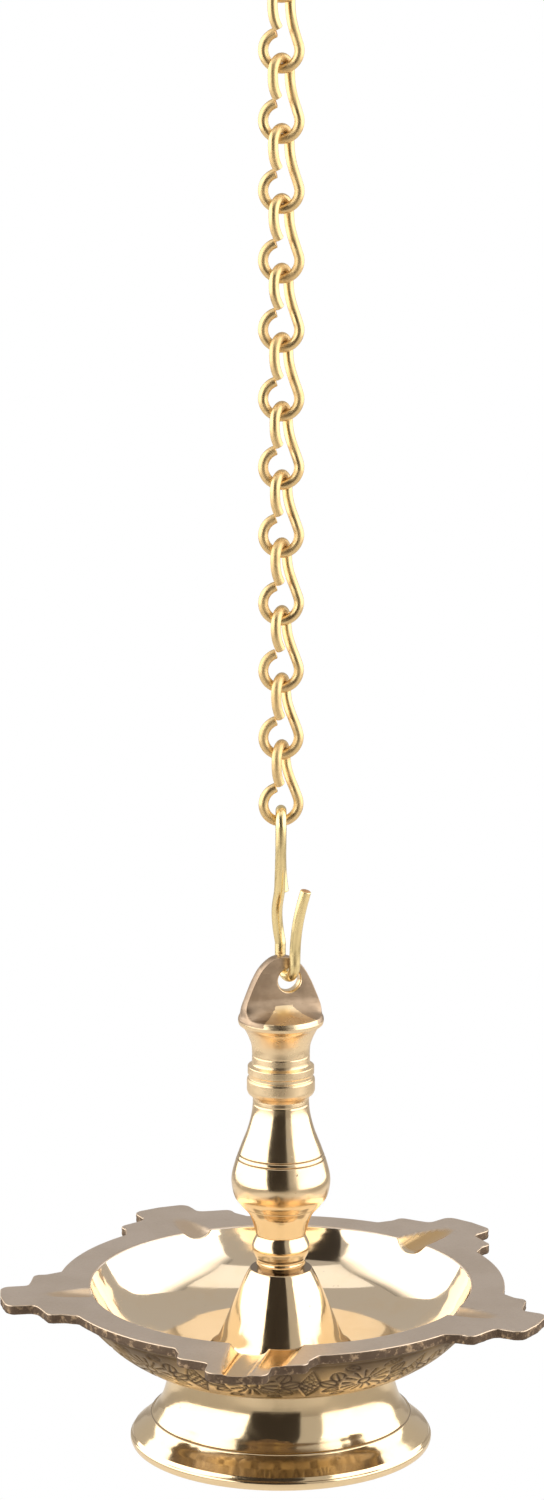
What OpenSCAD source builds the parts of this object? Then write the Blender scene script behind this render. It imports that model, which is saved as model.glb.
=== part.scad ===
// Hanging five-wick oil lamp in polished brass on an open-link wire chain.
// Units are millimetres. +Z is up and +Y is away from the front.
// The origin is the hang point: the inside top of the crook of the top hook.

/* [Chain] */
// Number of chain links between the two hooks
link_count = 13; // [3:1:24]
// Distance from one link's big loop to the next one's
link_pitch = 13.6; // [13.4:0.1:14.4]
// Diameter of the chain wire
chain_wire = 2; // [1.6:0.1:2]
// Centreline radius of a link's round lower loop
loop_r = 3.55; // [3.5:0.05:3.8]
// Centreline radius of the arch at the top of a link
arch_r = 2.9; // [2.8:0.05:3]
// Turn of the arch's plane against the round loop's plane, in degrees
arch_turn = 62; // [62:1:75]
// Free play between two wires that hang on each other
wire_gap = 0.1; // [0.08:0.01:0.15]
// Turn of the first link about the chain's own line, in degrees
first_yaw = -10; // [-20:1:0]
// Turn of the last link about the chain's own line, in degrees
last_yaw = 10; // [0:1:20]

/* [Hooks] */
// Diameter of the wire of both hooks
hook_wire = 2.2; // [1.8:0.1:2.4]
// Inner radius of the top hook's open crook
crook_inner_r = 7; // [6:0.5:9]
// Drop from the hang point to the centre of the top hook's eye
top_hook_drop = 28; // [26:0.5:34]
// Turn of the top hook about the chain's line, in degrees
top_hook_yaw = -22; // [-30:1:-20]
// Drop from the last link's loop to the centre of the lug hole
lamp_hook_drop = 36.2; // [35:0.1:40]
// Turn of the lamp hook's eye from straight ahead, in degrees
hook_yaw = 0; // [-4:1:10]
// Centreline half-width of the lamp hook's long eye
eye_half_w = 2.6; // [2.4:0.1:3]
// Centreline radius of the lamp hook's lower bend
bend_r = 3.3; // [3.2:0.1:3.6]
// Turn of the lower bend from straight ahead, in degrees
bend_yaw = 26; // [20:1:28]

/* [Stem] */
// Height of the lug's tip over the rim
lug_top = 69; // [68.5:0.5:70]
// Thickness of the flat lug
lug_t = 2.8; // [2.4:0.1:2.8]
// Radius of the round disc under the lug
lug_disc_r = 8.66; // [8.4:0.1:9]
// Turn of the lug's face from straight ahead, in degrees
lug_yaw = 18; // [10:1:22]
// Diameter of the hole in the lug
lug_hole_d = 4.6; // [4.6:0.1:5]
// Sideways offset of the lug hole from the stem's axis
lug_hole_x = 1.4; // [0:0.1:1.6]
// Largest radius of the stem's pear-shaped swelling
swell_r = 10.04; // [9.4:0.1:10.6]

/* [Bowl] */
// Outer radius of the flat rim between the spouts
rim_r = 45.6; // [44.6:0.2:46.2]
// Radius of the bowl's mouth
mouth_r = 38.9; // [38:0.1:39.4]
// Thickness of the rim and the spouts
rim_t = 2; // [1.8:0.1:2.4]
// Number of wick spouts
spout_count = 5; // [3:1:7]
// Radius of the spouts' tips
spout_r = 57.4; // [56:0.2:58]
// Direction of the front spout from straight ahead, in degrees
spout_yaw = -9; // [-20:1:20]
// Depth of the well below the rim
well_depth = 13.3; // [13:0.1:13.6]
// Width of a wick channel where it leaves the well
channel_w = 7; // [5:0.5:8]

/* [Foot] */
// Height of the foot
foot_h = 17; // [16.6:0.1:17.6]
// Largest radius of the foot
foot_r = 30.8; // [30:0.1:31.6]
// Radius of the foot's waist under the bowl
waist_r = 23; // [22.4:0.1:23.6]
// Wall thickness of the hollow foot
foot_wall = 2; // [1.6:0.1:2.2]
// Diameter of the tie rod that clamps the lamp together
rod_d = 4; // [3:0.5:4]

/* [Hidden] */
$fn = 96;
wire_sides = 8;
eps = 0.01;
up = [0, 0, 1];

function link_name(i) = str("link_", i < 10 ? "0" : "", i);

// Heights of the things that hang on each other, from the hang point down
arch_top = link_pitch - loop_r + chain_wire + wire_gap;
mixed_gap = (chain_wire + hook_wire) / 2 + wire_gap;
top_eye_z = -top_hook_drop;
first_loop_z = top_eye_z - loop_r + mixed_gap - arch_top;
last_loop_z = first_loop_z - (link_count - 1) * link_pitch;
lug_hole_z = last_loop_z - lamp_hook_drop;
lug_hole_h = 63.9;
rim_z = lug_hole_z - lug_hole_h;

// Heights over the rim, and the bores for the rod
floor_h = -well_depth;
bowl_base_h = floor_h - 3.3;
seam_h = 3.4;
seat_h = bowl_base_h - 2.6;
lug_base_h = 56.4;
rod_grip = 11;
rod_hole_r = rod_d / 2 + 0.2;
cut_over = 1;

function loop_z(i) = first_loop_z - (i - 1) * link_pitch;
function link_yaw(i) = first_yaw + (last_yaw - first_yaw) * (i - 1) / (link_count - 1);
function flat(a) = [cos(a), sin(a), 0];
function unit(v) = v / norm(v);
function turned(points, a) =
    [for (p = points) [p.x * cos(a) - p.y * sin(a), p.x * sin(a) + p.y * cos(a), p.z]];
function lifted(points, z) = [for (p = points) p + z * up];
function tail(list) = [for (i = [1:len(list) - 1]) list[i]];

// Arc about a centre, from angle a0 to a1, in the plane of the directions u and v
function arc(centre, r, u, v, a0, a1, n) =
    [for (i = [0:n]) let (a = a0 + (a1 - a0) * i / n) centre + r * cos(a) * u + r * sin(a) * v];

// Cubic Bezier curve between a and d
function bezier(a, b, c, d, n) =
    [for (i = [0:n]) let (t = i / n, s = 1 - t)
        s * s * s * a + 3 * s * s * t * b + 3 * s * t * t * c + t * t * t * d];

// Smooth curve through every point, with n steps between neighbours
function smooth(points, n) =
    let (last = len(points) - 1)
    concat([for (i = [0:last - 1], k = [0:n - 1])
        let (p0 = points[max(i - 1, 0)], p1 = points[i], p2 = points[i + 1],
            p3 = points[min(i + 2, last)], t = k / n)
        0.5 * (2 * p1 + (p2 - p0) * t + (2 * p0 - 5 * p1 + 4 * p2 - p3) * t * t
            + (3 * p1 - p0 - 3 * p2 + p3) * t * t * t)], [points[last]]);

// Round wire along a path, with frames carried along it without twist
function tangent(path, i) = unit(path[min(i + 1, len(path) - 1)] - path[max(i - 1, 0)]);
function square_to(v, t) = unit(v - (v * t) * t);
function normals(path) =
    let (start = tangent(path, 0), side = abs(start.y) < 0.9 ? [0, 1, 0] : [1, 0, 0])
    [for (i = 0, n = square_to(side, start); i < len(path);
        i = i + 1, n = i < len(path) ? square_to(n, tangent(path, i)) : n) n];

module wire(path, d) {
    across = normals(path);
    count = len(path);
    rings = [for (i = [0:count - 1], j = [0:wire_sides - 1])
        let (a = 360 * j / wire_sides, beside = cross(tangent(path, i), across[i]))
        path[i] + d / 2 * (cos(a) * across[i] + sin(a) * beside)];
    walls = [for (i = [0:count - 2], j = [0:wire_sides - 1])
        let (k = (j + 1) % wire_sides, low = i * wire_sides, high = low + wire_sides)
        [low + j, high + j, high + k, low + k]];
    start_cap = [for (j = [0:wire_sides - 1]) j];
    end_cap = [for (j = [wire_sides - 1:-1:0]) (count - 1) * wire_sides + j];
    polyhedron(rings, concat(walls, [start_cap, end_cap]), convexity = 6);
}

// ---- Chain ----

// A link is one open wire: round loop, neck, arch, and a front leg that ends by the cut
loop_start_a = 106;
loop_end_a = 378;
function link_path(i) =
    let (
        side = flat(arch_turn),
        arch_c = (arch_top - arch_r) * up,
        loop = arc([0, 0, 0], loop_r, flat(0), up, loop_start_a, loop_end_a, 14),
        rise = [-sin(loop_end_a), 0, cos(loop_end_a)],
        back_leg = arch_c + arch_r * side,
        front_leg = arch_c - arch_r * side,
        leg_end = [-0.35 + 0.12 * sin(71 * i + 40), -1.8, 4.4 + 0.12 * sin(137 * i)],
        neck = bezier(loop[14], loop[14] + 3.2 * rise, back_leg - 3.4 * up, back_leg, 8),
        arch = arc(arch_c, arch_r, side, up, 0, 180, 9),
        leg = bezier(front_leg, front_leg - 2 * up, leg_end + [-0.8, -0.4, 1.5], leg_end, 5)
    )
    concat(loop, tail(neck), tail(arch), tail(leg));

module chain_link(i) {
    color("goldenrod")
        wire(lifted(turned(link_path(i), link_yaw(i)), loop_z(i)), chain_wire);
}

// ---- Hooks ----

// Open crook over the hang point, a short shank, and a round eye for the first link
module top_hook() {
    crook_r = crook_inner_r + hook_wire / 2;
    crook_c = [0, 0, -crook_inner_r];
    across = flat(top_hook_yaw);
    tip_a = 205;
    end_a = -52;
    crook = arc(crook_c, crook_r, across, up, tip_a, end_a, 22);
    leaving = sin(-end_a) * -across - cos(end_a) * up;
    eye_c = top_eye_z * up;
    eye_start_a = 72;
    eye = arc(eye_c, loop_r, across, up, eye_start_a, eye_start_a + 320, 16);
    entering = cos(eye_start_a + 90) * across + sin(eye_start_a + 90) * up;
    last = crook[22];
    shank = bezier(last, last + 5 * unit(leaving), eye[0] - 5 * entering, eye[0], 10);
    color("gold")
        wire(concat(crook, tail(shank), tail(eye)), hook_wire);
}

// Long eye on the last link, S-bent shank behind the lug, J bend through the lug hole
lug_n = flat(lug_yaw - 90);
lug_side = flat(lug_yaw);
bend_gap = 0.62;
bend_low = lug_hole_x * lug_side
    + (lug_hole_z + lug_hole_d / 2 - hook_wire / 2 - bend_gap) * up;
module lamp_hook() {
    eye_top = last_loop_z - loop_r + mixed_gap;
    eye_dir = flat(hook_yaw - 90);
    eye_c = (eye_top - eye_half_w) * up;
    back_end = [0.55, 2.6, eye_top - 17.4];
    back_leg = bezier(back_end, back_end + [-0.8, 0.2, 3.4],
        eye_c - eye_half_w * eye_dir - 5 * up, eye_c - eye_half_w * eye_dir, 8);
    eye = arc(eye_c, eye_half_w, -eye_dir, up, 0, 180, 9);
    bend_dir = flat(bend_yaw - 90);
    bend_c = bend_low + bend_r * up;
    waist = [-0.25, -0.7, eye_top - 15.6];
    shank_top = bezier(eye[9], eye[9] - 5 * up, waist + [0.1, -1.1, 3.2], waist, 9);
    behind = bend_c - bend_r * bend_dir + 3 * up;
    shank_low = bezier(waist, waist + [-0.1, 1.1, -3.2], behind + [-1.4, -0.2, 7.5], behind, 10);
    bend = arc(bend_c, bend_r, bend_dir, up, 180, 360, 11);
    front = bend_c + bend_r * bend_dir;
    tip = front + 2.5 * bend_dir + [1.1, 0, 15.6];
    rise = bezier(front, front + 6.5 * up, tip + [-1.4, 0.6, -5.2], tip, 9);
    color("gold")
        wire(concat(back_leg, tail(eye), tail(shank_top), tail(shank_low), [bend[0]],
            tail(bend), tail(rise)), hook_wire);
}

// ---- Lamp castings ----

module lathe(outline) {
    translate([0, 0, rim_z])
        rotate_extrude()
            polygon(outline);
}

// Turned stem: bead, pear-shaped swelling, collar and disc, as radius and height over the rim
module stem() {
    bead = smooth([[4.7, seam_h], [5, 4.4], [4.95, 5.3], [5.35, 6.1], [5.9, 7.5], [5.75, 8.7],
        [5.05, 10.2]], 3);
    swelling = smooth([[5, 10.6], [6.3, 14.6], [8.2, 17], [9.5, 18.9], [swell_r, 22.2],
        [9.35, 25.6], [8.1, 29.2], [6.8, 32.6], [5.9, 36.2], [5.66, 39.3]], 4);
    collar = [[6.1, 40], [6.6, 40.3], [6.88, 41], [6.88, 43.4], [6.5, 43.6], [6.5, 44.3],
        [6.72, 44.5], [6.72, 46], [6.3, 46.25], [5.9, 46.5]];
    cove = smooth([[5.85, 47], [5.9, 50], [6.5, 52], [7.4, 53.8], [8.2, 54.6]], 4);
    disc = [[lug_disc_r - 0.15, 54.8], [lug_disc_r, 55.4], [lug_disc_r, 56], [8.3, 56.7], [0, 57]];
    swell_grooves = [16.6, 26.8, 27.8];
    lug_h = lug_top - lug_base_h;
    groove_w = 0.16;
    lug_profile = smooth([[8.3, 0], [8.05, 2.2], [7.1, 4.8], [5.9, 7.6], [4.5, 10], [2.6, 12]], 4);
    color("burlywood")
        difference() {
            union() {
                lathe(concat([[0, seam_h]], bead, swelling, collar, cove, disc));
                translate([0, 0, rim_z + lug_base_h])
                    rotate(lug_yaw)
                        rotate([90, 0, 0])
                            translate([0, 0, -lug_t / 2])
                                linear_extrude(lug_t)
                                    polygon(concat([for (p = lug_profile) p], [[0, lug_h]],
                                        [for (i = [len(lug_profile) - 1:-1:0])
                                            [-lug_profile[i].x, lug_profile[i].y]]));
            }
            translate(lug_hole_x * lug_side + lug_hole_z * up)
                rotate([90, 0, lug_yaw])
                    cylinder(d = lug_hole_d, h = 4 * lug_t, center = true);
            translate([0, 0, rim_z + seam_h - cut_over])
                cylinder(d = rod_d, h = cut_over + rod_grip + 0.5);
            for (h = swell_grooves)
                translate([0, 0, rim_z + h])
                    rotate_extrude()
                        translate([groove_r(h), 0])
                            circle(r = groove_w, $fn = 16);
        }
}
// Radius of the swelling at the height of each turned line
function groove_r(h) = h < 20 ? 7.9 : h < 27 ? 8.98 : 8.62;

// Flared pillar between the well's floor and the stem
module pillar_cone() {
    side = smooth([[14.6, floor_h], [12.9, -11.6], [11.3, -8], [9.5, -3.6], [7.7, 0.6],
        [6.3, seam_h]], 5);
    color("khaki")
        difference() {
            lathe(concat([[0, floor_h]], side, [[0, seam_h]]));
            translate([0, 0, rim_z + floor_h - cut_over])
                cylinder(r = rod_hole_r, h = seam_h - floor_h + 2 * cut_over);
        }
}

// Half outline of one spout, as distance to the side and distance from the axis
spout_half = concat([[14.4, 43], [12.9, 46.6]],
    arc([11.4, 47.9], 1.6, [1, 0], [0, 1], 0, 70, 4),
    [[8.6, 50.3], [6.9, 50.9], [6.3, 51.6]],
    arc([4.1, spout_r - 2.6], 2.2, [1, 0], [0, 1], 0, 80, 4),
    [[2, spout_r]]);
module spout() {
    mirrored = [for (i = [len(spout_half) - 1:-1:0]) [-spout_half[i].x, spout_half[i].y]];
    polygon(concat([[14.4, mouth_r], [14.4, 43]], spout_half, mirrored, [[-14.4, mouth_r]]));
}
function spout_a(k) = spout_yaw + 360 / spout_count * k;

// Shallow bowl with a flat five-spouted rim and a wick channel in each spout
module bowl() {
    belly_r = 43.2;
    inside = smooth([[mouth_r, 0], [38.2, -1.5], [37, -3.7], [35.3, -6.3], [32.8, -8.9],
        [29.2, -11.1], [24.8, -12.6], [20, -13.2], [15, floor_h]], 4);
    outside = smooth([[belly_r, -rim_t], [42.6, -3], [40.4, -5.4], [37.6, -8.4], [34.6, -11.2],
        [30.4, -14], [26.4, -15.7], [waist_r, bowl_base_h]], 4);
    channel_depth = 1.9;
    channel_end_r = 50;
    channel_start_r = mouth_r - 3;
    channel_slope = atan(channel_depth / (channel_end_r - mouth_r));
    channel_c = (channel_w * channel_w / 4 - channel_depth * channel_depth) / (2 * channel_depth);
    channel_r = channel_c + channel_depth;
    color("wheat")
        difference() {
            union() {
                lathe(concat([[0, floor_h]], [for (i = [len(inside) - 1:-1:0]) inside[i]],
                    [[belly_r, 0]], outside, [[0, bowl_base_h]]));
                translate([0, 0, rim_z - rim_t])
                    linear_extrude(rim_t)
                        difference() {
                            union() {
                                circle(rim_r, $fn = 180);
                                for (k = [0:spout_count - 1])
                                    rotate(spout_a(k) + 180)
                                        spout();
                            }
                            circle(mouth_r + 2);
                        }
            }
            for (k = [0:spout_count - 1])
                rotate(spout_a(k) + 180)
                    translate([0, channel_start_r, rim_z + channel_c])
                        rotate([channel_slope - 90, 0, 0])
                            translate([0, 0, -2 * cut_over])
                                cylinder(r = channel_r, h = 16);
            translate([0, 0, rim_z + bowl_base_h - cut_over])
                cylinder(r = rod_hole_r, h = floor_h - bowl_base_h + 2 * cut_over);
        }
}

// Hollow flared foot with a flat seat under the bowl
module foot() {
    rest_h = bowl_base_h - foot_h;
    outside = smooth([[waist_r, bowl_base_h], [23.3, -20.6], [24.3, -24.2], [25.5, -26.2],
        [27.1, -28.2], [28.8, -29.7], [30.4, -31], [foot_r, -32.2], [30.3, rest_h]], 4);
    groove_h = -27.3;
    groove_r = 26.45;
    groove_w = 0.2;
    inside = smooth([[0, seat_h], [18, seat_h], [waist_r - foot_wall - 0.4, -20.6],
        [24.3 - foot_wall, -24.9], [25.3 - foot_wall, -27.5], [27.2 - foot_wall, -30],
        [28.6 - foot_wall, rest_h]], 4);
    color("wheat")
        difference() {
            lathe(concat(outside, [for (i = [len(inside) - 1:-1:0]) inside[i]], [[0, bowl_base_h]]));
            translate([0, 0, rim_z + seat_h - cut_over])
                cylinder(r = rod_hole_r, h = bowl_base_h - seat_h + 2 * cut_over);
            translate([0, 0, rim_z + groove_h])
                rotate_extrude()
                    translate([groove_r, 0])
                        circle(r = groove_w, $fn = 16);
        }
}

// ---- Clamping rod, washer and nut inside the lamp ----

washer_t = 0.8;
washer_d = 9;
nut_t = 3.2;
nut_flats = 7;
rod_past_nut = 1.3;

module tie_rod() {
    rod_low = seat_h - washer_t - nut_t - rod_past_nut;
    color("darkgoldenrod")
        translate([0, 0, rim_z + rod_low])
            cylinder(d = rod_d, h = seam_h + rod_grip - rod_low);
}

module washer() {
    color("silver")
        translate([0, 0, rim_z + seat_h - washer_t])
            difference() {
                cylinder(d = washer_d, h = washer_t);
                translate([0, 0, -eps])
                    cylinder(d = rod_d + 0.3, h = washer_t + 2 * eps);
            }
}

module hex_nut() {
    color("darkgoldenrod")
        translate([0, 0, rim_z + seat_h - washer_t - nut_t])
            difference() {
                cylinder(d = nut_flats / cos(30), h = nut_t, $fn = 6);
                translate([0, 0, -eps])
                    cylinder(d = rod_d, h = nut_t + 2 * eps);
            }
}

top_hook();
for (i = [1:link_count])
    chain_link(i);
lamp_hook();
stem();
pillar_cone();
bowl();
foot();
tie_rod();
washer();
hex_nut();
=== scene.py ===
"""Looks of a hanging brass oil lamp: wires, turned stem, cone, chased bowl and foot, and a plain studio."""
import math

import bpy
import numpy as np
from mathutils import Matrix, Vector, noise


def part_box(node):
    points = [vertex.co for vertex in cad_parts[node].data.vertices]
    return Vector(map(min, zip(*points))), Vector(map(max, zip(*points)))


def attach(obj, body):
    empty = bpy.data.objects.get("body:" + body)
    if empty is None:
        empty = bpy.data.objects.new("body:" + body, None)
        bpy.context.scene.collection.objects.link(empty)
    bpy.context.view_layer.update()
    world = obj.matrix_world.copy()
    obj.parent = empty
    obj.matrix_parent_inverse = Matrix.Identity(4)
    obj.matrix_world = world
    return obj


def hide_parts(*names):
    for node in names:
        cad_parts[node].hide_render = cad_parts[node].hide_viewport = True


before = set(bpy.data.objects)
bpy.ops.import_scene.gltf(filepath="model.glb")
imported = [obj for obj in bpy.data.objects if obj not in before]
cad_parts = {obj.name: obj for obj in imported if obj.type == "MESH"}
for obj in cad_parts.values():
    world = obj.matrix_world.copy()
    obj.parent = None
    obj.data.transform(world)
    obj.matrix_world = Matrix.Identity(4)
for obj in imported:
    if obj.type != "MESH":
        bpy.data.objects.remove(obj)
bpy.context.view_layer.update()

# Lengths below are millimetres; MM turns them into Blender's metres
MM = 0.001
UP = np.array([0.0, 0.0, 1.0])
RIM_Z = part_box("bowl")[1].z / MM

# Chain and hooks, as the CAD makes them
LINKS = sorted(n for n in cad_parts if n.startswith("link_"))
LINK_PITCH = 13.6
CHAIN_WIRE = 2.0
LOOP_R = 3.55
ARCH_R = 2.9
ARCH_TURN = 62
WIRE_GAP = 0.1
FIRST_YAW, LAST_YAW = -10, 10
HOOK_WIRE = 2.2
CROOK_R = 8.1
TOP_HOOK_DROP = 28
TOP_HOOK_YAW = -22
LAMP_HOOK_DROP = 36.2
HOOK_YAW = 0
EYE_HALF_W = 2.6
BEND_R = 3.3
BEND_YAW = 26
BEND_GAP = 0.62

# Lamp, as radii and heights over the rim
SEAM_H = 3.4
LUG_YAW = 18
LUG_HOLE_H = 63.9
LUG_HOLE_X = 1.4
LUG_HOLE_R = 2.3
LUG_HALF_T = 1.4
DISC_R = 8.66
RIM_R = 45.6
MOUTH_R = 38.9
RIM_T = 2.0
SPOUTS = 5
SPOUT_STEP = 360 / SPOUTS
FIRST_SPOUT = 270 - 9
FLOOR_H = -13.3
BASE_H = -16.6
BASE_R = 23
BELLY_R = 43.2
ROD_R = 2.0
ROD_HOLE_R = 2.2

ARCH_TOP = LINK_PITCH - LOOP_R + CHAIN_WIRE + WIRE_GAP
MIXED_GAP = (CHAIN_WIRE + HOOK_WIRE) / 2 + WIRE_GAP
LUG_HOLE_Z = RIM_Z + LUG_HOLE_H
LAST_LOOP_Z = LUG_HOLE_Z + LAMP_HOOK_DROP


# ---- Curves ----

def flat(angle):
    """Level unit vector at an angle in degrees from +X."""
    a = math.radians(angle)
    return np.array([math.cos(a), math.sin(a), 0.0])


def arc(centre, r, u, v, a0, a1, n):
    a = np.radians(np.linspace(a0, a1, n + 1))[:, None]
    return np.asarray(centre) + r * (np.cos(a) * np.asarray(u) + np.sin(a) * np.asarray(v))


def bezier(a, b, c, d, n):
    a, b, c, d = (np.asarray(p, float) for p in (a, b, c, d))
    t = np.linspace(0, 1, n + 1)[:, None]
    s = 1 - t
    return s ** 3 * a + 3 * s * s * t * b + 3 * s * t * t * c + t ** 3 * d


def smooth(points, n):
    """Curve through every point, with n steps between neighbours."""
    p = np.asarray(points, float)
    p = np.vstack([p[:1], p, p[-1:]])
    steps = []
    for i in range(len(p) - 3):
        t = np.linspace(0, 1, n, endpoint=False)[:, None]
        p0, p1, p2, p3 = p[i:i + 4]
        steps.append(0.5 * (2 * p1 + (p2 - p0) * t + (2 * p0 - 5 * p1 + 4 * p2 - p3) * t * t
                            + (3 * p1 - p0 - 3 * p2 + p3) * t ** 3))
    return np.vstack(steps + [p[-1:]])


def joined(*parts):
    """One path from parts that each start where the last one ends."""
    return np.vstack([parts[0]] + [p[1:] for p in parts[1:]])


def resampled(path, spacing):
    """The path with points at an even spacing along its length."""
    d = np.r_[0, np.cumsum(np.linalg.norm(np.diff(path, axis=0), axis=1))]
    at = np.linspace(0, d[-1], max(2, round(d[-1] / spacing) + 1))
    return np.column_stack([np.interp(at, d, path[:, k]) for k in range(path.shape[1])])


def softened(points, cut, n=4):
    """A polyline whose corners are rounded over a length of cut on each side."""
    p = np.asarray(points, float)
    out = [p[:1]]
    for a, b, c in zip(p[:-2], p[1:-1], p[2:]):
        to_a, to_c = a - b, c - b
        la, lc = np.linalg.norm(to_a), np.linalg.norm(to_c)
        start, end = b + to_a / la * min(cut, la * 0.45), b + to_c / lc * min(cut, lc * 0.45)
        t = np.linspace(0, 1, n + 1)[:, None]
        out.append((1 - t) ** 2 * start + 2 * t * (1 - t) * b + t * t * end)
    return np.vstack(out + [p[-1:]])


def noise_at(points, scale, seed=0.0):
    """Smooth noise from -1 to 1 at each point, with features of about 1 / scale mm."""
    shift = Vector((seed, 2.7 * seed, -1.3 * seed))
    return np.array([noise.noise(Vector(p) * scale + shift) for p in points])


# ---- Meshes ----

def make_piece(name, points, faces, body, nodes, materials, face_materials=None, attributes=None):
    """A smooth-shaded mesh from points in mm, riding on a body and standing for CAD nodes."""
    mesh = bpy.data.meshes.new(name)
    mesh.from_pydata((np.asarray(points) * MM).tolist(), [], faces)
    mesh.validate()
    for m in materials:
        mesh.materials.append(m)
    if face_materials is not None:
        mesh.polygons.foreach_set("material_index", face_materials)
    for key, values in (attributes or {}).items():
        values = np.asarray(values, np.float32)
        kind, field = ("FLOAT", "value") if values.ndim == 1 else ("FLOAT_VECTOR", "vector")
        mesh.attributes.new(key, kind, "POINT").data.foreach_set(field, values.ravel())
    mesh.shade_smooth()
    mesh.update()
    obj = bpy.data.objects.new(name, mesh)
    bpy.context.scene.collection.objects.link(obj)
    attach(obj, body)
    if nodes:
        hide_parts(*nodes)
    return obj


def grid_faces(rows, cols, wrap_rows=False):
    """Quads of a grid whose columns close on themselves."""
    last = rows if wrap_rows else rows - 1
    i, j = np.meshgrid(np.arange(last), np.arange(cols), indexing="ij")
    up_row, next_col = (i + 1) % rows, (j + 1) % cols
    quads = np.stack([i * cols + j, i * cols + next_col, up_row * cols + next_col, up_row * cols + j], -1)
    return quads.reshape(-1, 4).tolist()


def crisp_flats(obj, angle=None):
    """Keeps broad faces flat next to their rounded edges."""
    if angle:
        obj.data.set_sharp_from_angle(angle=math.radians(angle))
    weighted = obj.modifiers.new("weighted normals", "WEIGHTED_NORMAL")
    weighted.mode = "FACE_AREA"
    weighted.weight = 60
    weighted.keep_sharp = True


def tangents(path):
    t = np.gradient(path, axis=0)
    return t / np.linalg.norm(t, axis=1, keepdims=True)


def wire_piece(name, path, d, body, node, material, sides=20):
    """Round wire along a path, with its frames carried along without twist and two cut ends."""
    path = resampled(path, 0.22)
    t = tangents(path)
    n = np.cross(t[0], [0.31, 0.95, 0.1])
    n /= np.linalg.norm(n)
    a = np.linspace(0, 2 * math.pi, sides, endpoint=False)
    rings, lengthways = [], []
    chamfer = 0.16
    end_rings = [(0.0, d / 2 - chamfer), (chamfer * 0.35, d / 2 - chamfer * 0.4), (chamfer, d / 2)]
    run = 0.0
    for i, p in enumerate(path):
        n = n - np.dot(n, t[i]) * t[i]
        n /= np.linalg.norm(n)
        side = np.cross(t[i], n)
        around = np.cos(a)[:, None] * n + np.sin(a)[:, None] * side
        if i == 0:
            steps = end_rings
        elif i == len(path) - 1:
            steps = [(-s, r) for s, r in reversed(end_rings)]
        else:
            steps = [(0.0, d / 2)]
        run += np.linalg.norm(p - path[max(i - 1, 0)])
        for shift, r in steps:
            rings.append(p + t[i] * shift + r * around)
            lengthways.append(np.column_stack([np.cos(a), np.sin(a), np.full(sides, (run + shift) * 0.06)]))
    count = len(rings)
    points = np.vstack(rings)
    faces = grid_faces(count, sides)
    faces.append(list(range(sides))[::-1])
    faces.append([(count - 1) * sides + j for j in range(sides)])
    slots = [0] * (len(faces) - 2) + [1, 1]
    obj = make_piece(name, points, faces, body, [node], material, slots,
                     {"along_wire": np.vstack(lengthways)})
    obj.data.set_sharp_from_angle(angle=math.radians(40))
    return obj


# ---- Material nodes ----

class Nodes:
    """Small helper that adds and links shader nodes of one material."""

    def __init__(self, name):
        self.material = bpy.data.materials.new(name)
        self.material.use_nodes = True
        self.tree = self.material.node_tree
        self.shader = self.tree.nodes["Principled BSDF"]

    def add(self, kind, **settings):
        node = self.tree.nodes.new(kind)
        for key, value in settings.items():
            setattr(node, key, value)
        return node

    def link(self, value, socket):
        if isinstance(value, bpy.types.NodeSocket):
            self.tree.links.new(value, socket)
        else:
            socket.default_value = value

    def math(self, operation, a, b=0.0, c=0.0, clamp=False):
        node = self.add("ShaderNodeMath", operation=operation, use_clamp=clamp)
        for value, socket in zip((a, b, c), node.inputs):
            self.link(value, socket)
        return node.outputs[0]

    def place(self):
        """Place on the piece, in metres."""
        return self.add("ShaderNodeTexCoord").outputs["Object"]

    def height(self, place):
        node = self.add("ShaderNodeSeparateXYZ")
        self.link(place, node.inputs[0])
        return node.outputs["Z"]

    def attribute(self, name, output="Fac"):
        return self.add("ShaderNodeAttribute", attribute_name=name).outputs[output]

    def stretched(self, vector, scale, turn=(0, 0, 0)):
        node = self.add("ShaderNodeMapping", vector_type="POINT")
        self.link(vector, node.inputs["Vector"])
        node.inputs["Rotation"].default_value = [math.radians(t) for t in turn]
        node.inputs["Scale"].default_value = scale
        return node.outputs[0]

    def noise(self, vector, scale, detail=3.0, rough=0.5):
        node = self.add("ShaderNodeTexNoise")
        self.link(vector, node.inputs["Vector"])
        for key, value in (("Scale", scale), ("Detail", detail), ("Roughness", rough)):
            node.inputs[key].default_value = value
        return node.outputs["Fac"]

    def ramp(self, value, low, high, to_low=0.0, to_high=1.0):
        """A soft step of value from low to high."""
        node = self.add("ShaderNodeMapRange", interpolation_type="SMOOTHSTEP")
        keys = ("Value", "From Min", "From Max", "To Min", "To Max")
        for key, v in zip(keys, (value, low, high, to_low, to_high)):
            self.link(v, node.inputs[key])
        return node.outputs[0]

    def mix(self, factor, a, b):
        node = self.add("ShaderNodeMix", data_type="RGBA")
        self.link(factor, node.inputs["Factor"])
        for value, key in ((a, 6), (b, 7)):
            self.link(value if isinstance(value, bpy.types.NodeSocket) else (*value, 1.0), node.inputs[key])
        return node.outputs[2]

    def bump(self, height, strength, distance):
        """Sets the shader's normal from a height."""
        node = self.add("ShaderNodeBump")
        self.link(height, node.inputs["Height"])
        node.inputs["Strength"].default_value = strength
        node.inputs["Distance"].default_value = distance
        self.link(node.outputs[0], self.shader.inputs["Normal"])

    def metal(self, colour, roughness, metallic=1.0):
        """Sets the shader's colour and gloss, and hands the material over."""
        if isinstance(colour, tuple):
            colour = (*colour, 1.0)
        self.link(colour, self.shader.inputs["Base Color"])
        self.link(roughness, self.shader.inputs["Roughness"])
        self.shader.inputs["Metallic"].default_value = metallic
        return self.material


GOLD = (0.93, 0.735, 0.475)
BROWN = (0.20, 0.13, 0.075)


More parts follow.
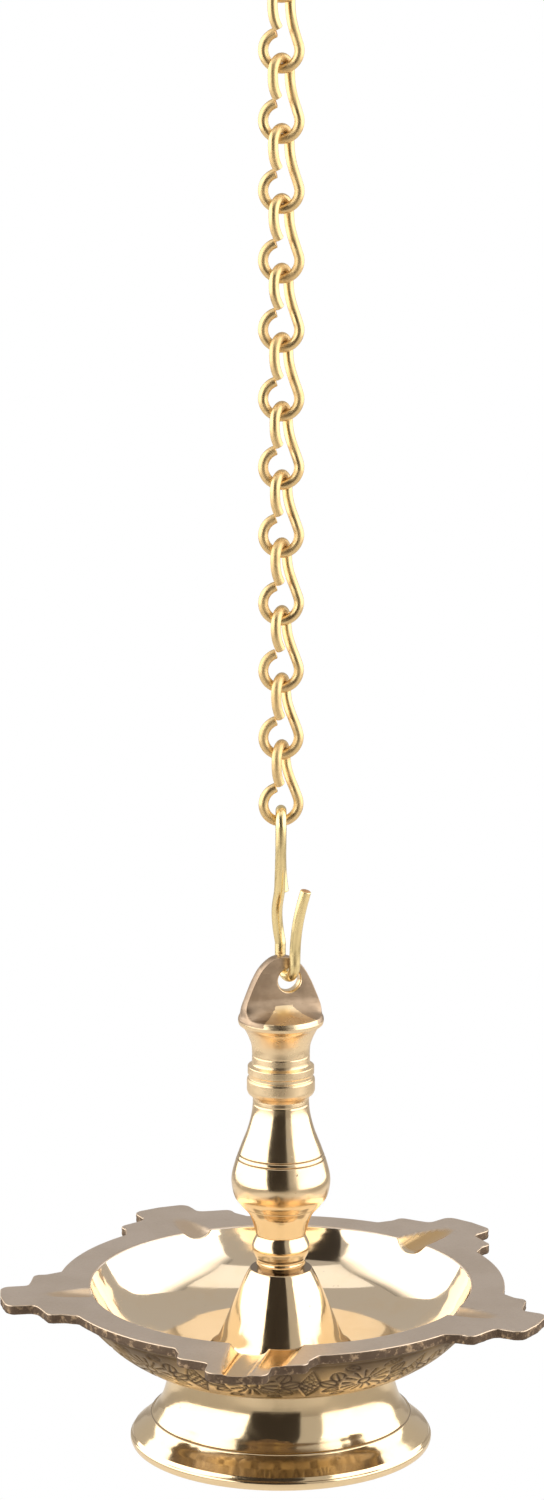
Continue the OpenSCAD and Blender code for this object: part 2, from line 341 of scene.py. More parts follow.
def drawn_wire(name, colour, dark, roughness):
    """Satin drawn wire: fine streaks along the wire, worn and tarnished patches."""
    m = Nodes(name)
    along = m.attribute("along_wire", "Vector")
    streaks = m.noise(along, 7.0, 4.0, 0.6)
    fine = m.noise(along, 26.0, 2.0, 0.6)
    patches = m.noise(m.place(), 220.0, 3.0, 0.55)
    dull = m.math("MULTIPLY", m.ramp(streaks, 0.46, 0.72), m.ramp(patches, 0.42, 0.68), clamp=True)
    tint = m.mix(m.math("MULTIPLY", dull, 0.6), colour, dark)
    uneven = m.ramp(patches, 0.3, 0.75, roughness * 0.8, roughness * 1.35)
    rough = m.math("ADD", uneven, m.math("MULTIPLY", dull, 0.1))
    m.bump(m.math("ADD", m.math("MULTIPLY", streaks, 0.5), m.math("MULTIPLY", fine, 0.5)), 0.03, 0.00003)
    return m.metal(tint, rough)


def cut_wire(name):
    """Reddish sheared face of a wire's end."""
    m = Nodes(name)
    grain = m.noise(m.stretched(m.place(), (1, 1, 6)), 900.0, 3.0, 0.6)
    m.bump(grain, 0.6, 0.00008)
    return m.metal(m.mix(grain, (0.62, 0.30, 0.13), (0.86, 0.56, 0.30)), 0.5)


def turned_brass(name, colour, roughness, ring_strength, satin_above=None):
    """Polished turned brass: fine rings left by the lathe, handling marks, a few pits and dark turned lines.
    Above the height satin_above (mm) it is less polished."""
    m = Nodes(name)
    place = m.place()
    rings = m.noise(m.stretched(place, (12, 12, 1500)), 1.0, 3.0, 0.6)
    smudge = m.noise(place, 160.0, 4.0, 0.6)
    haze = m.ramp(smudge, 0.42, 0.72)
    pits = m.ramp(m.noise(place, 1100.0, 1.0), 0.77, 0.82)
    tint = m.mix(m.math("MULTIPLY", haze, 0.25), colour, (0.88, 0.66, 0.40))
    tint = m.mix(m.math("MULTIPLY", pits, 0.6), tint, BROWN)
    tint = m.mix(m.math("MULTIPLY", m.attribute("cavity"), 0.9), tint, BROWN)
    hazed = m.math("MULTIPLY_ADD", haze, roughness * 0.9, roughness)
    rough = m.math("ADD", hazed, m.math("MULTIPLY", pits, 0.25))
    if satin_above is not None:
        satin = m.ramp(m.height(place), (satin_above - 1.5) * MM, satin_above * MM, 0.0, 0.12)
        rough = m.math("ADD", rough, satin)
    m.bump(m.math("SUBTRACT", m.math("MULTIPLY", rings, 0.6), pits), ring_strength, 0.00004)
    return m.metal(tint, rough)


def ground_flat(name):
    """Face of the lug, ground and brushed across at a slant, with deeper scratches."""
    m = Nodes(name)
    place = m.place()
    brushed = m.noise(m.stretched(place, (320, 320, 2600), (0, 24, 0)), 1.0, 3.0, 0.65)
    crossed = m.noise(m.stretched(place, (500, 500, 3400), (0, -32, 0)), 1.0, 2.0, 0.6)
    cloud = m.noise(place, 190.0, 3.0, 0.55)
    tint = m.mix(m.ramp(cloud, 0.35, 0.7), (0.52, 0.39, 0.275), (0.36, 0.262, 0.18))
    scratch = m.ramp(crossed, 0.62, 0.72)
    tint = m.mix(m.math("MULTIPLY", scratch, 0.5), tint, (0.36, 0.25, 0.17))
    rough = m.ramp(brushed, 0.3, 0.7, 0.3, 0.46)
    m.bump(m.math("SUBTRACT", brushed, m.math("MULTIPLY", scratch, 0.6)), 0.4, 0.00005)
    return m.metal(tint, rough)


def filed_rim(name):
    """Flat rim, filed and rubbed to a soft greyish satin, and golden where it is polished."""
    m = Nodes(name)
    place = m.place()
    grain = m.noise(place, 1500.0, 4.0, 0.65)
    cloud = m.noise(place, 90.0, 3.0, 0.5)
    lines = m.noise(m.stretched(place, (2200, 260, 300), (0, 0, 35)), 1.0, 2.0, 0.6)
    tint = m.mix(m.ramp(cloud, 0.3, 0.75), (0.72, 0.62, 0.53), (0.66, 0.56, 0.465))
    tint = m.mix(m.math("MULTIPLY", m.ramp(grain, 0.55, 0.75), 0.25), tint, (0.52, 0.42, 0.32))
    polish = m.attribute("polish")
    tint = m.mix(polish, tint, (0.86, 0.56, 0.23))
    rough = m.math("MULTIPLY", m.ramp(grain, 0.3, 0.7, 0.36, 0.5), m.ramp(polish, 0.0, 1.0, 1.0, 0.3))
    m.bump(m.math("ADD", grain, m.math("MULTIPLY", lines, 0.5)), 0.22, 0.00005)
    return m.metal(tint, rough)


def cast_edge(name):
    """Raw sand-cast skin on the rim's edge: dark and pitted, with bright worn spots."""
    m = Nodes(name)
    place = m.place()
    coarse = m.noise(place, 700.0, 4.0, 0.65)
    fine = m.noise(place, 2400.0, 2.0, 0.6)
    worn = m.ramp(coarse, 0.50, 0.70)
    tint = m.mix(worn, (0.17, 0.122, 0.088), (0.50, 0.36, 0.23))
    rough = m.ramp(worn, 0.0, 1.0, 0.62, 0.4)
    m.bump(m.math("ADD", coarse, m.math("MULTIPLY", fine, 0.5)), 0.9, 0.00012)
    return m.metal(tint, rough)


def chased_band(name):
    """Chased ornament: satin ground, lines that keep their dark patina, and a painted shadow under the rim
    that darkens the band towards its top.
    """
    m = Nodes(name)
    place = m.place()
    # This attribute holds the chased lines' patina and the painted shadow under the rim.
    patina_and_shade = m.attribute("patina_and_shade")
    grain = m.noise(place, 1400.0, 3.0, 0.6)
    cloud = m.noise(place, 120.0, 3.0, 0.5)
    # Darkens the chased lines and the painted shadow under the rim, and makes them rougher.
    dark = m.math("MULTIPLY", patina_and_shade, m.ramp(cloud, 0.15, 0.6, 0.75, 1.0), clamp=True)
    ground = m.mix(m.ramp(cloud, 0.35, 0.7), (0.56, 0.39, 0.18), (0.30, 0.215, 0.125))
    ground = m.mix(m.math("MULTIPLY", m.ramp(grain, 0.5, 0.75), 0.4), ground, (0.30, 0.21, 0.13))
    tint = m.mix(dark, ground, (0.10, 0.067, 0.043))
    m.bump(grain, 0.35, 0.00006)
    return m.metal(tint, m.ramp(dark, 0.0, 1.0, 0.3, 0.62))


def plain_steel(name):
    m = Nodes(name)
    grain = m.noise(m.place(), 1800.0, 3.0)
    m.bump(grain, 0.2, 0.00004)
    tint = m.mix(grain, (0.50, 0.50, 0.49), (0.66, 0.66, 0.64))
    return m.metal(tint, m.ramp(grain, 0.3, 0.7, 0.28, 0.42))


CHAIN = [drawn_wire("chain wire", (0.81, 0.60, 0.305), (0.64, 0.45, 0.21), 0.4),
         cut_wire("cut chain wire")]
HOOK = [drawn_wire("hook wire", (0.92, 0.75, 0.39), (0.83, 0.63, 0.30), 0.25), CHAIN[1]]
STEM = turned_brass("turned stem", GOLD, 0.14, 0.4, RIM_Z + 40)
CONE = turned_brass("turned cone", GOLD, 0.075, 0.12)
WELL = turned_brass("polished well", (0.89, 0.745, 0.555), 0.06, 0.06)
FOOT = turned_brass("spun foot", (0.93, 0.74, 0.47), 0.10, 0.16)
LUG = ground_flat("ground lug")
RIM = filed_rim("filed rim")
EDGE = cast_edge("cast edge")
BAND = chased_band("chased band")
ROD = turned_brass("rod brass", (0.80, 0.62, 0.38), 0.25, 0.3)
STEEL = plain_steel("washer steel")


# ---- Chain ----

LOOP_START, LOOP_END = 106, 378


def link_path(i):
    """The open wire of link i, seen from its own round loop: loop, neck, arch, front leg."""
    side = flat(ARCH_TURN)
    arch_c = (ARCH_TOP - ARCH_R) * UP
    loop = arc([0, 0, 0], LOOP_R, flat(0), UP, LOOP_START, LOOP_END, 60)
    end = math.radians(LOOP_END)
    rise = np.array([-math.sin(end), 0, math.cos(end)])
    back_leg, front_leg = arch_c + ARCH_R * side, arch_c - ARCH_R * side
    leg_end = np.array([-0.35 + 0.12 * math.sin(math.radians(71 * i + 40)), -1.8,
                        4.4 + 0.12 * math.sin(math.radians(137 * i))])
    neck = bezier(loop[-1], loop[-1] + 3.2 * rise, back_leg - 3.4 * UP, back_leg, 30)
    arch = arc(arch_c, ARCH_R, side, UP, 0, 180, 40)
    leg = bezier(front_leg, front_leg - 2 * UP, leg_end + [-0.8, -0.4, 1.5], leg_end, 24)
    return joined(loop, neck, arch, leg)


def turned(path, angle):
    """The path, turned about the vertical."""
    x_dir, y_dir = flat(angle), flat(angle + 90)
    return path[:, :1] * x_dir + path[:, 1:2] * y_dir + path[:, 2:] * UP


for index, link in enumerate(LINKS, 1):
    yaw = FIRST_YAW + (LAST_YAW - FIRST_YAW) * (index - 1) / (len(LINKS) - 1)
    loop_z = LAST_LOOP_Z + (len(LINKS) - index) * LINK_PITCH
    wire = turned(link_path(index), yaw) + loop_z * UP
    wire_piece(f"{link}_wire", wire, CHAIN_WIRE, link, link, CHAIN)


# ---- Hooks ----

CROOK_START, CROOK_END = 205, -52
EYE_START, EYE_END = 72, 392


def top_hook_path():
    """Open crook over the hang point, short shank, round eye."""
    across = flat(TOP_HOOK_YAW)
    end = math.radians(CROOK_END)
    crook = arc([0, 0, HOOK_WIRE / 2 - CROOK_R], CROOK_R, across, UP, CROOK_START, CROOK_END, 80)
    leaving = math.sin(-end) * -across - math.cos(end) * UP
    eye = arc(-TOP_HOOK_DROP * UP, LOOP_R, across, UP, EYE_START, EYE_END, 70)
    turn = math.radians(EYE_START + 90)
    entering = math.cos(turn) * across + math.sin(turn) * UP
    shank = bezier(crook[-1], crook[-1] + 5 * leaving, eye[0] - 5 * entering, eye[0], 40)
    return joined(crook, shank, eye)


def lamp_hook_path():
    """Long eye, S-bent shank behind the lug, J bend through the hole, free end curling forward."""
    eye_top = LAST_LOOP_Z - LOOP_R + MIXED_GAP
    eye_dir = flat(HOOK_YAW - 90)
    eye_c = (eye_top - EYE_HALF_W) * UP
    back_end = np.array([0.55, 2.6, eye_top - 17.4])
    back_top = eye_c - EYE_HALF_W * eye_dir
    back_leg = bezier(back_end, back_end + [-0.8, 0.2, 3.4], back_top - 5 * UP, back_top, 40)
    eye = arc(eye_c, EYE_HALF_W, -eye_dir, UP, 0, 180, 40)
    bend_dir = flat(BEND_YAW - 90)
    bend_low = LUG_HOLE_X * flat(LUG_YAW) + (LUG_HOLE_Z + LUG_HOLE_R - HOOK_WIRE / 2 - BEND_GAP) * UP
    bend_c = bend_low + BEND_R * UP
    waist = np.array([-0.25, -0.7, eye_top - 15.6])
    shank_top = bezier(eye[-1], eye[-1] - 5 * UP, waist + [0.1, -1.1, 3.2], waist, 40)
    behind = bend_c - BEND_R * bend_dir + 3 * UP
    shank_low = bezier(waist, waist + [-0.1, 1.1, -3.2], behind + [-1.4, -0.2, 7.5], behind, 50)
    bend = arc(bend_c, BEND_R, bend_dir, UP, 180, 360, 50)
    front = bend_c + BEND_R * bend_dir
    tip = front + 2.5 * bend_dir + [1.1, 0, 15.6]
    rise = bezier(front, front + 6.5 * UP, tip + [-1.4, 0.6, -5.2], tip, 40)
    return joined(back_leg, eye, shank_top, shank_low, np.vstack([shank_low[-1:], bend]), rise)


wire_piece("top_hook_wire", top_hook_path(), HOOK_WIRE, "top_hook", "top_hook", HOOK)
wire_piece("lamp_hook_wire", lamp_hook_path(), HOOK_WIRE, "lamp_hook", "lamp_hook", HOOK)


# ---- Turned pieces ----

def spaced_outline(points, spacing, lines=()):
    """Outline rows (radius, height, how deep in a turned line) at an even spacing, closer at each line.
    A line is given as (height, radius, depth)."""
    d = np.r_[0, np.cumsum(np.linalg.norm(np.diff(points, axis=0), axis=1))]
    at = np.linspace(0, d[-1], round(d[-1] / spacing) + 1)
    centres = []
    for height, near_r, depth in lines:
        k = np.argmin(np.hypot(points[:, 1] - height, 0.05 * (points[:, 0] - near_r)))
        centres.append((d[k], depth))
        at = np.r_[at, d[k] + np.linspace(-0.45, 0.45, 13)]
    at = np.unique(np.r_[np.clip(at, 0, d[-1]), d])
    at = at[np.r_[True, np.diff(at) > 0.035]]
    out = np.column_stack([np.interp(at, d, points[:, k]) for k in (0, 1)])
    along = np.gradient(out, axis=0)
    along /= np.linalg.norm(along, axis=1, keepdims=True)
    inward = np.column_stack([-along[:, 1], along[:, 0]])
    cavity = np.zeros(len(at))
    for centre, depth in centres:
        dip = np.exp(-((at - centre) / 0.13) ** 2)
        out += inward * (depth * dip)[:, None]
        cavity = np.maximum(cavity, dip * min(1, depth / 0.2))
    return np.column_stack([out, cavity])


def ring_points(outline, columns):
    """Rows of points round the lamp's axis from (radius, height over the rim) pairs."""
    a = np.linspace(0, 2 * math.pi, columns, endpoint=False)
    r, h = outline[:, :1], outline[:, 1:2]
    return np.stack([r * np.cos(a), r * np.sin(a), np.repeat(RIM_Z + h, columns, 1)], -1)


def closed_rings(rows):
    """Points and faces of a grid of rings, with a flat cap of triangles at each end."""
    count, columns = rows.shape[:2]
    points = np.vstack([rows.reshape(-1, 3), rows[0].mean(0), rows[-1].mean(0)])
    faces = grid_faces(count, columns)
    first, last = count * columns, count * columns + 1
    for j in range(columns):
        k = (j + 1) % columns
        faces.append([first, k, j])
        faces.append([last, (count - 1) * columns + j, (count - 1) * columns + k])
    return points, faces


def least(a, b, blend):
    """The smaller of a and b, rounded where they meet."""
    h = np.maximum(blend - np.abs(a - b), 0) / blend
    return np.minimum(a, b) - h * h * blend / 4


STEM_COLUMNS = 288


def stem_outline():
    """Bead, pear-shaped swelling with turned lines, collar and cove, up to the disc's edge."""
    bead = smooth([[4.7, SEAM_H], [5, 4.4], [4.95, 5.3], [5.35, 6.1], [5.9, 7.5], [5.75, 8.7],
                   [5.05, 10.2]], 10)
    swelling = smooth([[5, 10.6], [6.3, 14.6], [8.2, 17], [9.5, 18.9], [10.04, 22.2], [9.35, 25.6],
                       [8.1, 29.2], [6.8, 32.6], [5.9, 36.2], [5.66, 39.3]], 12)
    collar = softened([[5.66, 39.3], [6.1, 40], [6.6, 40.3], [6.88, 41], [6.88, 43.4], [6.5, 43.6],
                       [6.5, 44.3], [6.72, 44.5], [6.72, 46], [6.3, 46.25], [5.9, 46.5], [5.85, 47]], 0.09)
    cove = smooth([[5.85, 47], [5.9, 50], [6.5, 52], [7.4, 53.8], [8.2, 54.6]], 10)
    disc = softened([[8.2, 54.6], [8.51, 54.8], [DISC_R, 55.4], [DISC_R, 55.7]], 0.15)
    outline = np.vstack([bead, swelling, collar[1:], cove[1:], disc[1:]])
    lines = [(16.6, 7.9, 0.09), (26.8, 9, 0.16), (27.8, 8.6, 0.16), (38.2, 5.7, 0.05), (42.2, 6.9, 0.05),
             (48.4, 5.9, 0.04)]
    return spaced_outline(outline, 0.36, lines)


# Where the lug's ground faces start to sweep out to the disc, and over what height they do it
FILLET_TOP, FILLET_RISE = 60.4, 3.8


def lug_rows():
    """The ogive over the disc, ground to a flat plate whose faces sweep out to the disc's edge."""
    silhouette = smooth([[DISC_R, 55.7], [8.62, 56.1], [8.3, 56.8], [8.05, 58.6], [7.1, 61.2], [5.9, 64],
                         [4.5, 66.4], [2.6, 68.2], [1.1, 68.85], [0.25, 69]], 12)
    outline = spaced_outline(silhouette, 0.2)
    a = np.linspace(0, 2 * math.pi, STEM_COLUMNS, endpoint=False)
    turn_x, turn_y = flat(LUG_YAW), flat(LUG_YAW + 90)
    rows = []
    for r, h, _ in outline:
        drop = np.clip((FILLET_TOP - h) / FILLET_RISE, 0, 1)
        sweep = 1 - math.sqrt(1 - drop * drop)
        local = a - math.radians(LUG_YAW)
        x, y = r * np.cos(local), r * np.sin(local)
        foot = np.sqrt(np.maximum(DISC_R ** 2 - x * x, LUG_HALF_T ** 2))
        y = np.sign(y) * least(np.abs(y), LUG_HALF_T + (foot - LUG_HALF_T) * sweep, 0.35)
        rows.append(x[:, None] * turn_x + y[:, None] * turn_y + (RIM_Z + h) * UP)
    return np.array(rows)


def hole_cutter():
    """A pin with flared ends, so that the bore it cuts has rounded edges."""
    spool = softened([[3.4, -1.95], [2.62, -1.42], [LUG_HOLE_R, -0.95], [LUG_HOLE_R, 0.95], [2.62, 1.42],
                      [3.4, 1.95]], 0.3)
    a = np.linspace(0, 2 * math.pi, 72, endpoint=False)
    side, out = flat(LUG_YAW), flat(LUG_YAW + 90)
    centre = LUG_HOLE_X * side + LUG_HOLE_Z * UP
    circle = np.cos(a)[:, None] * side + np.sin(a)[:, None] * UP
    points, faces = closed_rings(np.array([centre + r * circle - y * out for r, y in spool]))
    mesh = bpy.data.meshes.new("cutter")
    mesh.from_pydata((points * MM).tolist(), [], faces)
    return bpy.data.objects.new("cutter", mesh)


def build_stem():
    """The turned stem and its lug in one piece, with the hole cut through the lug."""
    outline = stem_outline()
    turned_rows = ring_points(outline, STEM_COLUMNS)
    rows = np.concatenate([turned_rows, lug_rows()[1:]])
    points, faces = closed_rings(rows)
    first_lug = (len(turned_rows) - 1) * STEM_COLUMNS
    last_lug = (len(rows) - 1) * STEM_COLUMNS
    centres = np.array([points[f].mean(0) for f in faces[first_lug:last_lug]])
    from_axis = np.linalg.norm(centres[:, :2], axis=1).clip(2.5)
    slots = np.zeros(len(faces), int)
    slots[first_lug:last_lug] = np.abs(centres @ flat(LUG_YAW + 90)) < 0.75 * from_axis
    cavity = np.zeros(len(points))
    cavity[:len(turned_rows) * STEM_COLUMNS] = np.repeat(outline[:, 2], STEM_COLUMNS)
    obj = make_piece("stem_turned", points, faces, "lamp", ["stem"], [STEM, LUG],
                     slots.tolist(), {"cavity": cavity})
    cutter = hole_cutter()
    bpy.context.scene.collection.objects.link(cutter)
    cut = obj.modifiers.new("lug hole", "BOOLEAN")
    cut.object, cut.operation, cut.solver = cutter, "DIFFERENCE", "EXACT"
    seen = bpy.context.evaluated_depsgraph_get()
    holed = bpy.data.meshes.new_from_object(obj.evaluated_get(seen))
    obj.modifiers.clear()
    obj.data = holed
    bpy.data.objects.remove(cutter)
    crisp_flats(obj, 50)


def ring_piece(name, outline, columns, node, material):
    """A turned piece whose outline closes on itself."""
    rows = ring_points(outline, columns)
    crisp_flats(make_piece(name, rows.reshape(-1, 3), grid_faces(len(rows), columns, True), "lamp", [node],
                           [material], None, {"cavity": np.repeat(outline[:, 2], columns)}))


def build_cone():
    """Cone with a rod hole and a dark seam under the stem."""
    side = smooth([[14.6, FLOOR_H], [12.9, -11.6], [11.3, -8], [9.5, -3.6], [7.7, 0.6],
                   [6.4, SEAM_H - 0.25]], 12)
    top = softened([[6.4, SEAM_H - 0.25], [6.2, SEAM_H], [ROD_HOLE_R, SEAM_H], [ROD_HOLE_R, 2.4]], 0.12)
    outline = spaced_outline(np.vstack([[[ROD_HOLE_R, FLOOR_H]], side, top[1:]]), 0.4)
    outline[:, 2] = np.clip((outline[:, 1] - SEAM_H + 0.12) / 0.1, 0, 1)
    ring_piece("cone_turned", outline, 224, "pillar_cone", CONE)


def build_foot():
    """Hollow flared foot with one turned line and a thin rolled edge."""
    outside = smooth([[BASE_R, BASE_H], [23.3, -20.6], [24.3, -24.2], [25.5, -26.2], [27.1, -28.2],
                      [28.8, -29.7], [30.2, -30.9]], 12)
    lip = softened([[30.2, -30.9], [30.45, -31.5], [30.8, -31.8], [30.8, -32.6], [30.5, -33.35],
                    [30.1, -33.6], [28.6, -33.6]], 0.3)
    inside = smooth([[28.6, -33.6], [25.2, -30], [23.3, -27.5], [22.3, -24.9], [20.6, -20.6], [18, -19.2]], 8)
    seat = softened([[18, -19.2], [ROD_HOLE_R, -19.2], [ROD_HOLE_R, BASE_H], [BASE_R, BASE_H]], 0.1)
    outline = np.vstack([spaced_outline(np.vstack([outside, lip[1:]]), 0.32, [(-27.35, 26.45, 0.26)]),
                         spaced_outline(np.vstack([inside, seat[1:]]), 0.9)[1:-1]])[::-1]
    ring_piece("foot_spun", outline, 320, "foot", FOOT)


# ---- Bowl ----

HALF_SECTOR = 90
COLUMNS = 2 * HALF_SECTOR * SPOUTS


def spout_outline():
    """Half of one spout and half of the gap beside it, as (to the side, from the axis), gap first."""
    start = [14.28, 43.3]
    gap_mid, gap_end = SPOUT_STEP / 2, math.degrees(math.atan2(*start))
    gap = arc([0, 0], RIM_R, [1, 0], [0, 1], 90 - gap_mid, 90 - gap_end, 30)
    shoulder = arc([11.4, 47.9], 1.6, [1, 0], [0, 1], 0, 70, 6)
    tip = arc([4.1, 54.8], 2.2, [1, 0], [0, 1], 0, 80, 8)
    neck = [[8.6, 50.3], [6.9, 50.9], [6.3, 51.6]]
    half = softened(np.vstack([gap, [[12.9, 46.6]], shoulder, neck, tip, [[0, 57.4]]]), 0.5, 3)
    d = np.r_[0, np.cumsum(np.linalg.norm(np.diff(half, axis=0), axis=1))]
    at = np.linspace(0, d[-1], HALF_SECTOR + 1)
    return np.column_stack([np.interp(at, d, half[:, k]) for k in (0, 1)])


def bowl_plan():
    """Even directions round the bowl, and the spouted outline's point and outward normal for each."""
    half = spout_outline()
    sector = np.vstack([half[:-1], half[::-1][:-1] * [-1, 1]])
    turn = np.linspace(-SPOUT_STEP / 2, SPOUT_STEP / 2, 2 * HALF_SECTOR, endpoint=False)
    outline, even = [], []
    for k in range(SPOUTS):
        heading = FIRST_SPOUT + SPOUT_STEP * k
        ahead, beside = flat(heading)[:2], flat(heading - 90)[:2]
        outline.append(sector[:, :1] * beside + sector[:, 1:] * ahead)
        even.append(heading + turn)
    outline, even = np.vstack(outline), np.radians(np.concatenate(even))
    along = np.roll(outline, -1, 0) - np.roll(outline, 1, 0)
    along /= np.linalg.norm(along, axis=1, keepdims=True)
    outward = np.column_stack([along[:, 1], -along[:, 0]])
    return np.column_stack([np.cos(even), np.sin(even)]), outline, outward, even


# Wick channel of each spout from the front one round: depth at the mouth, half width, run-out radius,
# polish, and how square its section is
CHANNELS = [(2.4, 3.9, 60.5, 1.0, 5), (1.4, 3.0, 48.5, 0.3, 2.6), (2.1, 4.1, 50.5, 0.8, 2.6),
            (1.35, 3.2, 48.5, 0.25, 2.6), (1.4, 3.0, 48.5, 0.3, 2.6)]
# Facet worn beside the front channel: depth at the mouth, rise outward, place to the side, half width
WORN_DEPTH, WORN_RISE, WORN_SIDE, WORN_HALF_W = 1.0, 0.065, 6, 4.6
DEEPEST_CUT = 3.2
# Depth at which a channel is fully polished
POLISHED_AT = 0.22
# Where the channels may cut: from this far from the axis, and this far to each side
CUT_FROM_R, CUT_HALF_W = 33, 13.5


def wick_channels(points):
    """Lowers the rim and the well's wall into each wick channel, and tells how polished each point is."""
    polish = np.zeros(len(points))
    for k, (depth, half_w, run_out, shine, square) in enumerate(CHANNELS):
        heading = FIRST_SPOUT + SPOUT_STEP * k
        ahead, beside = flat(heading)[:2], flat(heading + 90)[:2]
        u, v = points[:, :2] @ beside, points[:, :2] @ ahead
        near = (v > CUT_FROM_R) & (np.abs(u) < CUT_HALF_W)
        cut = depth * (np.abs(u / half_w) ** square + (v - MOUTH_R) / (run_out - MOUTH_R) - 1)
        if k == 0:
            worn = WORN_RISE * (v - MOUTH_R) - WORN_DEPTH + 1.2 * np.abs((u - WORN_SIDE) / WORN_HALF_W) ** 4
            cut = least(cut, worn, 0.4)
        cut = np.where(near, np.maximum(cut, -DEEPEST_CUT), 1.0)
        polish = np.maximum(polish, shine * np.clip(-cut / POLISHED_AT, 0, 1))
        points[:, 2] = np.minimum(points[:, 2], cut)
    return points, polish


def line_at(distance, half_width):
    """1 on a line and 0 beside it, softly."""
    return np.clip(1.25 - np.abs(distance) / half_width, 0, 1)


# Chased band, in mm along it and up it from its middle
BAND_TOP, BAND_LOW = 7.6, -7.4
BAND_R = 36.0
BAND_SHIFT = 5.6
# Length of one repeat as drawn, and the room it gets on the band, a tenth of the way round
REPEAT = 22.6
REPEAT_ROOM = 22.619
CHASED_DEPTH = 0.26
PETALS = 14
# Leaves on one side of the daisy: centre along and up, tilt in degrees, length
LEAVES = [(6.2, 2.9, 68, 4.4), (7.6, 0.2, 28, 4.6), (6.3, -3.0, -30, 4.2), (4.0, 5.9, 28, 3.6),
          (4.2, -5.9, -18, 3.4)]


def chasing(x, y):
    """Chased ornament at a place x along the band and y up it, both in mm: 0 ground to 1 full depth.
    A repeat holds a daisy, two sprays of leaves and a small lattice."""
    x = (x + REPEAT / 2) % REPEAT - REPEAT / 2
    rho, psi = np.hypot(x, y), np.arctan2(y, x)
    between = np.abs(np.sin(PETALS / 2 * psi))
    marks = np.where((rho > 1.7) & (rho < 5.1 - 0.6 * between), np.clip(1.7 - 2.6 * between, 0, 1), 0)
    marks = np.maximum(marks, line_at(rho - 1.15, 0.32))
    free = rho > 5.5
    for side in (-1, 1):
        for cx, cy, tilt, length in LEAVES:
            c, s = math.cos(math.radians(tilt)), math.sin(math.radians(tilt))
            u = (side * x - cx) * c + (y - cy) * s
            w = -(side * x - cx) * s + (y - cy) * c
            edge = 0.30 * length * (1 - (2 * u / length) ** 2)
            leaf = (np.abs(u) < length / 2) & free
            marks = np.maximum(marks, np.where(leaf, line_at(np.abs(w) - edge, 0.42), 0))
            marks = np.maximum(marks, np.where(leaf & (np.abs(w) < edge), line_at(w, 0.34), 0))
    edge_x = REPEAT / 2 - np.abs(x)
    half_w, half_h, mesh = 1.9, 5.2, 1.7
    lozenge = edge_x / half_w + np.abs(y) / half_h
    lattice = np.maximum(line_at((edge_x + y) % mesh - mesh / 2, 0.27),
                         line_at((edge_x - y) % mesh - mesh / 2, 0.27))
    marks = np.maximum(marks, np.where(lozenge < 1, lattice, 0))
    return np.maximum(marks, line_at((lozenge - 1.15) * half_w, 0.3))


# Skins of the bowl, in the order of its materials
WELL_SKIN, RIM_SKIN, EDGE_SKIN, BAND_SKIN = range(4)
LIP_R = 39.2
# Heights of the rows along the rim's corners, which are rubbed bright
RUBBED = (-0.02, -0.07, -0.18)


